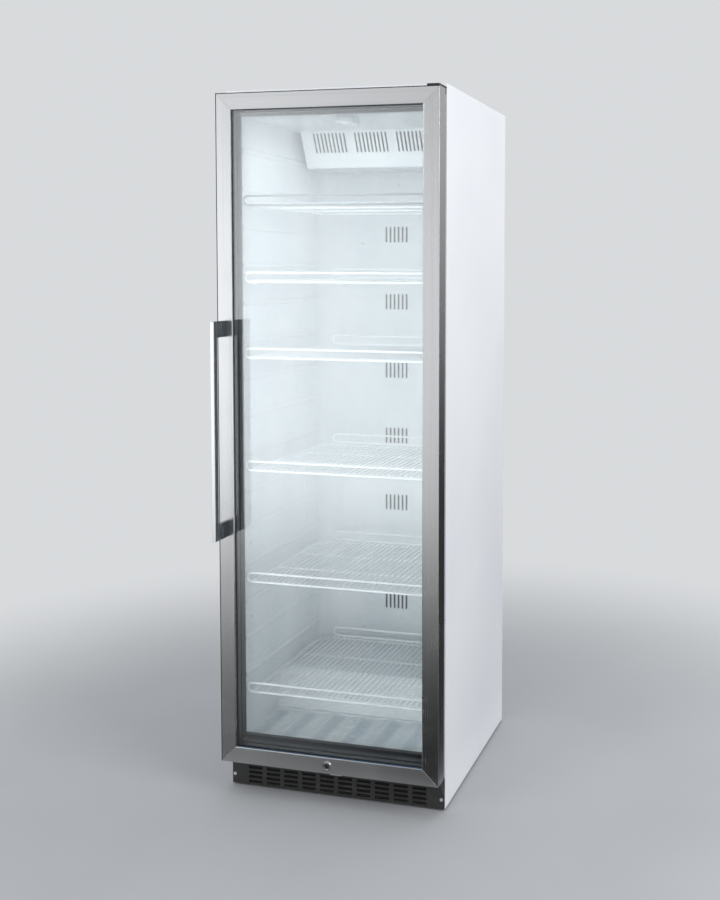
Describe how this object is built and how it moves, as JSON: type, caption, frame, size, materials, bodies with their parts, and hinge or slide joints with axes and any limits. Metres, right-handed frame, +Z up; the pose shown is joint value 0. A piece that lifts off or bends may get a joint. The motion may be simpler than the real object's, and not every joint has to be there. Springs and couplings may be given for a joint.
{
  "type": "reach in refrigerator",
  "caption": "Tall free-standing reach-in refrigerator with a hinged glass door in a brushed steel frame, wire shelves, a bar handle, a door lock and a louvred kick plate.",
  "frame": {"origin": "on the ground, under the middle of the whole object's box, handle included", "axes": "+Z up, the glass door faces -Y and its hinge is on the +X side"},
  "size_m": [0.6, 0.72, 1.85],
  "materials": {
    "white_steel": "satin white powder coat",
    "white_liner": "smooth white moulded liner",
    "stainless": "fine brushed stainless steel",
    "handle_steel": "brushed stainless steel",
    "black_metal": "matt black powder coat",
    "black_plastic": "fine-grained black plastic",
    "clear_glass": "clear tempered glass",
    "gasket_rubber": "soft dark grey rubber",
    "white_wire": "white coated wire",
    "clip_plastic": "off-white plastic",
    "galvanised": "galvanised sheet",
    "foam": "rigid foam",
    "fin_aluminium": "thin aluminium fins",
    "copper": "drawn copper tube",
    "motor_grey": "grey paint",
    "blade_plastic": "moulded plastic",
    "compressor_black": "gloss black paint",
    "lamp": "frosted diffuser",
    "chrome_lock": "polished chrome",
    "zinc_screw": "zinc plated",
    "nylon": "natural nylon",
    "foot_plastic": "black foot pad"
  },
  "bodies": {
    "cabinet": {"left_side_panel": "white_steel", "right_side_panel": "white_steel", "top_panel": "white_steel", "back_panel": "galvanised", "base_pan": "galvanised", "compartment_deck": "galvanised", "foam_insulation": "foam", "front_breaker_strips": "black_plastic", "inner_left_wall": "white_liner", "inner_right_wall": "white_liner", "inner_back_wall": "white_liner", "inner_ceiling": "white_liner", "inner_floor": "white_liner", "panel_screws": "zinc_screw", "shelf_guards": "white_wire", "shelf_clips": "clip_plastic", "evaporator_cover": "white_liner", "evaporator_coil": "fin_aluminium", "evaporator_fan_motor": "motor_grey", "led_strip": "lamp", "control_housing": "white_liner", "kick_plate": "black_metal", "compressor": "compressor_black", "drip_tray": "blade_plastic", "condenser_coil": "fin_aluminium", "condenser_fan_shroud": "galvanised", "condenser_fan_motor": "motor_grey", "refrigerant_tubes": "copper", "rear_grille": "galvanised", "power_gland": "black_plastic", "top_hinge_bracket": "black_metal", "bottom_hinge_bracket": "black_metal", "top_hinge_cap": "black_plastic", "lock_keeper": "zinc_screw", "shelf_1_deck": "white_wire", "shelf_2_deck": "white_wire", "shelf_3_deck": "white_wire", "shelf_4_deck": "white_wire", "shelf_5_deck": "white_wire", "shelf_6_deck": "white_wire"},
    "door": {"door_stile_left": "stainless", "door_stile_right": "stainless", "door_rail_top": "stainless", "door_rail_bottom": "stainless", "door_inner_frame": "black_plastic", "front_glass": "clear_glass", "rear_glass": "clear_glass", "glass_spacer": "black_plastic", "door_gasket": "gasket_rubber", "door_handle": "handle_steel", "lock_body": "chrome_lock", "hinge_bushes": "nylon"},
    "lock_plug": {"lock_plug": "chrome_lock"},
    "light_switch": {"light_switch": "clip_plastic"},
    "evaporator_fan": {"evaporator_fan_blade": "blade_plastic"},
    "condenser_fan": {"condenser_fan_blade": "blade_plastic"},
    "front_left_foot": {"front_left_foot": "foot_plastic"},
    "front_right_foot": {"front_right_foot": "foot_plastic"},
    "back_left_foot": {"back_left_foot": "foot_plastic"},
    "back_right_foot": {"back_right_foot": "foot_plastic"}
  },
  "joints": [
    {"name": "door_hinge", "type": "hinge", "parent": "cabinet", "child": "door", "pos_m": [0.288, -0.255, 0.963], "axis": [0, 0, 1], "range_deg": [0, 105]},
    {"name": "lock_turn", "type": "hinge", "parent": "door", "child": "lock_plug", "pos_m": [0, -0.27, 0.111], "axis": [0, -1, 0], "range_deg": [0, 90]},
    {"name": "light_switch_rock", "type": "hinge", "parent": "cabinet", "child": "light_switch", "pos_m": [0.008, -0.172, 1.7695], "axis": [-1, 0, 0], "range_deg": [0, 16]},
    {"name": "evaporator_fan_spin", "type": "hinge", "parent": "cabinet", "child": "evaporator_fan", "pos_m": [0, 0.203, 1.735], "axis": [0, 1, 0], "continuous": true},
    {"name": "condenser_fan_spin", "type": "hinge", "parent": "cabinet", "child": "condenser_fan", "pos_m": [-0.15, 0.074, 0.115], "axis": [0, 1, 0], "continuous": true},
    {"name": "front_left_foot_turn", "type": "hinge", "parent": "cabinet", "child": "front_left_foot", "pos_m": [-0.265, -0.19, 0.03], "axis": [0, 0, 1], "continuous": true},
    {"name": "front_right_foot_turn", "type": "hinge", "parent": "cabinet", "child": "front_right_foot", "pos_m": [0.265, -0.19, 0.03], "axis": [0, 0, 1], "continuous": true},
    {"name": "back_left_foot_turn", "type": "hinge", "parent": "cabinet", "child": "back_left_foot", "pos_m": [-0.265, 0.32, 0.03], "axis": [0, 0, 1], "continuous": true},
    {"name": "back_right_foot_turn", "type": "hinge", "parent": "cabinet", "child": "back_right_foot", "pos_m": [0.265, 0.32, 0.03], "axis": [0, 0, 1], "continuous": true}
  ]
}
